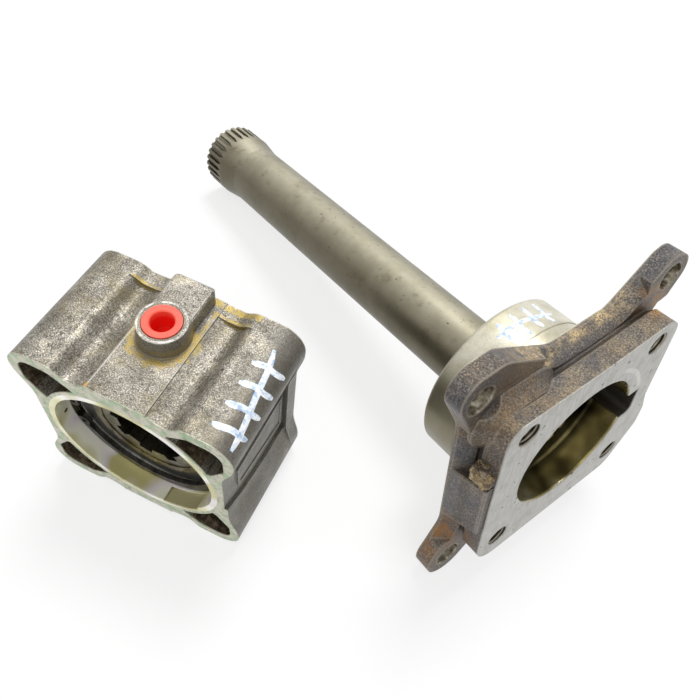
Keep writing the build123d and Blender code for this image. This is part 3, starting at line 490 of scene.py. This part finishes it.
# Casting stub: the gate was broken off here, so its end is a rough crystalline break in the iron,
# since turned gold by rust and oil. It covers the plain stub of the casting.
broken_iron, tree, shader, at = start_finish("grey_iron_broken_and_rusted", Metallic=0.35)
crystal = node(tree, "TexVoronoi", at, Scale=1300.0).node.outputs["Distance"]
rusty = node(tree, "TexNoise", at, Scale=220.0, Detail=7.0, Roughness=0.75)
broken = node(tree, "ValToRGB", rusty, stops=[
    (0.36, "#3b3530"), (0.47, "#6f614b"), (0.57, "#ab9264"), (0.68, "#d9c8a2")])
broken = paint(tree, node(tree, "MapRange", crystal, 0.3, 0.6, 0.0, 0.35), broken, "#4a4038")
lay_on(shader, Base_Color=broken, Roughness=node(tree, "MapRange", rusty, 0.4, 0.6, 0.5, 0.3),
       Normal=node(tree, "Bump", Strength=0.6, Distance=0.0004, Height=crystal))

# a block with blunt corners, chipped in broad flakes and roughened by grit
stub_middle = Vector((-0.0546, 0.0190, -0.0060))
stub_half = Vector((0.0047, 0.0056, 0.0056))
stub_mesh = bpy.data.meshes.new("casting_stub_break")
form = bmesh.new()
bmesh.ops.create_icosphere(form, subdivisions=5, radius=1.0)
turn = Euler(flange_turn).to_matrix()
for vert in form.verts:
    way = Vector(math.copysign(abs(c) ** 0.65, c) for c in vert.co)
    chip = noise.voronoi(way * 1.5 + Vector((3.1, 0.4, 7.7)))[0][0]
    grit = noise.fractal(way * 7.0, 0.6, 2.0, 4)
    size = 0.93 + 0.26 * (0.45 - chip) + 0.09 * grit
    vert.co = Vector(flange_origin) + turn @ (stub_middle + stub_half * way * size)
form.to_mesh(stub_mesh)
form.free()
stub = add_piece("casting_stub_break", stub_mesh, broken_iron)
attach(stub, "unit")

# Drive shaft: alloy steel forging, turned, induction hardened and ground, now a satin olive silver
# with small stains and pits. Fine serrations on its far end carry the drive from the gearbox.
shaft_steel, tree, shader, at = start_finish("alloy_steel_ground_satin", Metallic=0.75)
own = node(tree, "Mapping", at, vector_type="TEXTURE", Location=flange_origin, Rotation=flange_turn)
x, y, z = node(tree, "SeparateXYZ", own).node.outputs
out = node(tree, "VectorMath", node(tree, "CombineXYZ", x, y), operation="LENGTH")

# grinding lay 0.6 mm apart round the shaft, clouds of 17 mm, pits of 2.4 mm and stains of 9 mm
lay = node(tree, "TexNoise", node(tree, "CombineXYZ", out, z), Scale=1600.0, Detail=3.0, Roughness=0.7)
cloud = node(tree, "TexNoise", at, Scale=60.0, Detail=6.0, Roughness=0.65)
pits = node(tree, "MapRange", node(tree, "TexNoise", at, Scale=420.0, Detail=2.0), 0.68, 0.74)
stains = node(tree, "TexNoise", at, Scale=110.0, Detail=7.0, Roughness=0.7)
satin = paint(tree, node(tree, "MapRange", cloud, 0.35, 0.65), "#a39d87", "#bfb9a3")
satin = paint(tree, node(tree, "MapRange", lay, 0.3, 0.7, 0.0, 0.3), satin, "#b0ab98")
satin = paint(tree, both(tree, pits, 0.7), satin, "#3a3021")
satin = paint(tree, node(tree, "MapRange", stains, 0.56, 0.70, 0.0, 0.5), satin, "#5a4d35")

# both flanks carry painted shade, and so do the gaps between the teeth
flank = node(tree, "Math", x, out, operation="DIVIDE")
shaded_flanks = either(tree, node(tree, "MapRange", flank, -0.05, -0.85, 0.0, 0.85),
              node(tree, "MapRange", flank, 0.20, 0.75, 0.0, 0.85))
satin = paint(tree, shaded_flanks, satin, "#524c3b")
occlusion = node(tree, "AmbientOcclusion", samples=6, only_local=True, Distance=0.003)
openness = occlusion.node.outputs["AO"]
satin = paint(tree, node(tree, "MapRange", openness, 0.8, 0.4), satin, "#211b14")
bump = node(tree, "Bump", Strength=0.3, Distance=0.0001, Height=node(tree, "Mix", 0.5, lay, pits),
            Normal=node(tree, "Bevel", samples=4, Radius=0.0004))
lay_on(shader, Base_Color=satin, Roughness=node(tree, "MapRange", cloud, 0.3, 0.7, 0.42, 0.33), Normal=bump)
dress(shaft_steel, "drive_shaft")

# Shaft bearing, its clips and seal: ground chrome steel, brass cage, phosphated rings and a pressed
# steel seal case, all deep in the bore behind its oil film and painted shade.
here = {"place": flange_origin, "turn": flange_turn}
shaft_ring_steel = turned_finish("shaft_bearing_steel_ground", "#bdbbb2", "#7c786c", 0.18, 0.00015, **here)
dress(shaft_ring_steel, "shaft_bearing_outer_ring", "shaft_bearing_inner_ring", "shaft_bearing_balls")
shaft_cage_brass = turned_finish("shaft_cage_brass_machined", "#c1a157", "#856c36", 0.3, 0.0003, **here)
dress(shaft_cage_brass, "shaft_bearing_cage")
clip_steel = turned_finish("shaft_clip_steel_phosphated", "#5f5d59", "#2d2b28", 0.42, 0.0005, **here)
dress(clip_steel, "spigot_clip", "shaft_clip")
case_steel = turned_finish("seal_case_steel_pressed", "#77736a", "#403c33", 0.3, 0.0006, **here)
dress(case_steel, "shaft_seal_case")

# Tally strokes: white paint pen, laid on by hand on both halves, a little blue where the film is thin.
# Each stroke is a film 0.12 mm thick that follows the casting under it.
paint_pen, tree, shader, at = start_finish("paint_pen_white", Roughness=0.42, IOR=1.5)
film = node(tree, "TexNoise", at, Scale=420.0, Detail=4.0, Roughness=0.6)
tone = node(tree, "ValToRGB", film, stops=[(0.36, "#a6c2e4"), (0.48, "#e4edf8"), (0.6, "#ffffff")])
lay_on(shader, Base_Color=tone, Normal=node(tree, "Bump", Strength=0.4, Distance=0.0002, Height=film))


def paint_stroke(name, target, aim, start, end, width, bow):
    """A painted stroke from start to end on the target's surface; aim gives the ray onto a point of it."""
    along = Vector(end) - Vector(start)
    side = Vector((-along.y, along.x)).normalized()
    steps, across = 22, 6
    film_edge, film_rise = 0.00002, 0.0001
    ray_start = 0.02        # about how far a ray starts above the surface, for a ray that misses
    points, faces = [], []
    for i in range(steps + 1):
        t = i / steps
        rounded = 0.5 + 0.5 * math.sin(math.pi * min(1.0, 6 * t, 6 * (1 - t)) / 2)
        wide = width * rounded * (1 - 0.15 * t)
        wobble = 0.12 * width * math.sin(9 * t + 40 * start[0])
        middle = Vector(start) + along * t + side * (bow * math.sin(math.pi * t) + wobble)
        for j in range(across + 1):
            s = j / across - 0.5
            origin, way = aim(middle + side * s * wide)
            hit, place, normal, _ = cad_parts[target].ray_cast(origin, way)
            lift = film_edge + film_rise * (1 - (2 * s) ** 2)
            points.append(place + normal * lift if hit else origin + way * ray_start)
    for i in range(steps):
        for j in range(across):
            a = i * (across + 1) + j
            faces.append((a, a + 1, a + across + 2, a + across + 1))
    mesh = bpy.data.meshes.new(name)
    mesh.from_pydata(points, [], faces)
    mesh.shade_smooth()
    stroke = add_piece(name, mesh, paint_pen)
    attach(stroke, "unit")


def onto_lobe(p):
    """Ray onto the housing's upper right lobe: p runs along the housing and across the lobe."""
    inward, across = Vector((-0.5, 0.0, -0.87)).normalized(), Vector((0.87, 0.0, -0.5))
    return Vector((0.0465, p.x, 0.0500)) + across * p.y - inward * 0.02, inward


def onto_spigot(p):
    """Ray onto the flange's spigot: p runs along its axis and round it."""
    turn = Euler(flange_turn).to_matrix()
    angle = math.radians(78) - p.y / spigot_r
    outward = Vector((math.cos(angle), math.sin(angle), 0.0))
    start = outward * (spigot_r + 0.0167) + Vector((0.0, 0.0, p.x))
    return Vector(flange_origin) + turn @ start, turn @ -outward


housing_pen, spigot_pen = 0.0031, 0.0026
for number, along in enumerate((0.0090, 0.0195, 0.0300, 0.0405), 1):
    paint_stroke(f"housing_tally_{number}", "clutch_housing", onto_lobe, (along, -0.0082),
                 (along + 0.0030, 0.0078), housing_pen, 0.0006)
paint_stroke("housing_tally_5", "clutch_housing", onto_lobe, (0.0035, 0.0040), (0.0500, -0.0035),
             housing_pen, 0.0009)
for number, round_it in enumerate((-0.0190, -0.0110, -0.0030, 0.0050), 1):
    paint_stroke(f"spigot_tally_{number}", "mounting_flange", onto_spigot, (-0.0355, round_it),
                 (-0.0495, round_it + 0.0015), spigot_pen, 0.0005)
paint_stroke("spigot_tally_5", "mounting_flange", onto_spigot, (-0.0440, -0.0230), (-0.0405, 0.0095),
             spigot_pen, 0.0006)

# Floor: matt white paint, just under both halves. Seen directly it is nearly plain white, and it keeps
# the halves' soft shadows.
floor_half, floor_z = 6.0, -0.0526
floor_corners = [(floor_half * i, floor_half * j, floor_z) for i, j in ((-1, -1), (1, -1), (1, 1), (-1, 1))]
floor_mesh = bpy.data.meshes.new("floor")
floor_mesh.from_pydata(floor_corners, [], [(0, 1, 2, 3)])
floor = bpy.data.objects.new("floor", floor_mesh)
bpy.context.scene.collection.objects.link(floor)
floor_paint, tree, shader, at = start_finish("floor_paint_white_matt", Roughness=0.9,
                                             Base_Color=linear("#f2f2f2"))


def seen_directly(tree):
    """1 for rays that show the background itself: to the camera, in metal and through glass."""
    path = node(tree, "LightPath").node.outputs
    return either(tree, path["Is Camera Ray"], path["Is Glossy Ray"], path["Is Transmission Ray"])


white = node(tree, "Emission", Strength=1.0, Color="#ffffff")
shown = node(tree, "MixShader", both(tree, seen_directly(tree), 0.74), shader.outputs[0], white)
tree.links.new(shown, tree.nodes["Material Output"].inputs["Surface"])
floor_mesh.materials.append(floor_paint)

# Studio light: a pale sky that is greyer at the horizon, a soft key light from the back and a weak
# fill light from the front.
world = bpy.data.worlds.new("studio_sky")
bpy.context.scene.world = world
world.use_nodes = True
tree = world.node_tree
_, _, up = node(tree, "SeparateXYZ", node(tree, "TexCoord").node.outputs["Generated"]).node.outputs
seen = seen_directly(tree)
sky = paint(tree, node(tree, "MapRange", up, 0.0, 0.8), "#b9b9b9", "#ffffff")
shown = paint(tree, node(tree, "MapRange", up, 0.0, 0.5), "#e9e9e9", "#ffffff")
tree.links.new(paint(tree, seen, sky, shown), tree.nodes["Background"].inputs["Color"])
tree.links.new(node(tree, "Mix", seen, 0.6, 1.0), tree.nodes["Background"].inputs["Strength"])

for name, energy, spread, tilt, roll in (("key", 1.9, 20, -26, -3), ("fill", 0.6, 40, 30, 5)):
    sun = bpy.data.lights.new(name, "SUN")
    sun.energy = energy
    sun.angle = math.radians(spread)
    lamp = bpy.data.objects.new(name, sun)
    lamp.rotation_euler = (math.radians(tilt), math.radians(roll), 0.0)
    bpy.context.scene.collection.objects.link(lamp)

# Camera: placed and turned so that both halves lie in the picture as they do in the photograph.
# Its place, turn and lens were fitted to the edges and holes of both halves.
camera_data = bpy.data.cameras.new("photo_camera")
camera_data.sensor_width = 36.0
camera_data.lens = 35.13
camera = bpy.data.objects.new("photo_camera", camera_data)
camera.location = (0.1149, -0.09237, 0.28916)
camera.rotation_euler = [math.radians(a) for a in (34.099, -6.222, 24.509)]
bpy.context.scene.collection.objects.link(camera)
bpy.context.scene.camera = camera
bpy.context.scene.view_settings.view_transform = "Standard"
